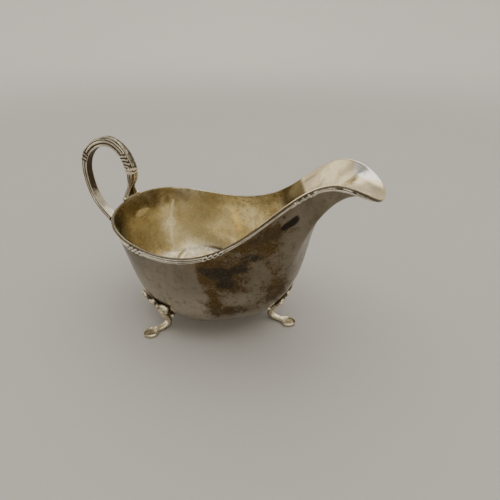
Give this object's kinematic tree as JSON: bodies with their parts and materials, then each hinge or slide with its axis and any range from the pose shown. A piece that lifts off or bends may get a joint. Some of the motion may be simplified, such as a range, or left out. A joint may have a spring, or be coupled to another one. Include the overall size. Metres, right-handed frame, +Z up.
{
  "type": "sauce boat",
  "caption": "Footed silver sauce boat with a deep oval bowl, a high pouring lip, a reeded rim border, a looped scroll handle on a forked root, and scroll feet springing from shells.",
  "frame": {"origin": "on the table plane, under the middle of the object's length and on its plane of symmetry", "axes": "+X towards the pouring lip, +Y towards the left side seen from the handle, +Z up from the table"},
  "size_m": [0.204, 0.1044, 0.114],
  "materials": {
    "bowl_silver": "tarnished sterling silver, worn satin",
    "border_silver": "polished silver with dark tarnish in the reeds",
    "handle_silver": "worn polished silver, warm tarnish in the flutes",
    "root_silver": "cast silver, dark tarnish in the hollows",
    "foot_silver": "cast silver, bright on the high places",
    "shell_silver": "cast silver, dark tarnish in the flutes"
  },
  "bodies": {
    "root": {"bowl": "bowl_silver", "rim_border_left": "border_silver", "rim_border_right": "border_silver", "handle_loop": "handle_silver", "handle_root": "root_silver", "leg_front": "foot_silver", "leg_rear_left": "foot_silver", "leg_rear_right": "foot_silver", "shell_front": "shell_silver", "shell_rear_left": "shell_silver", "shell_rear_right": "shell_silver"}
  },
  "joints": []
}
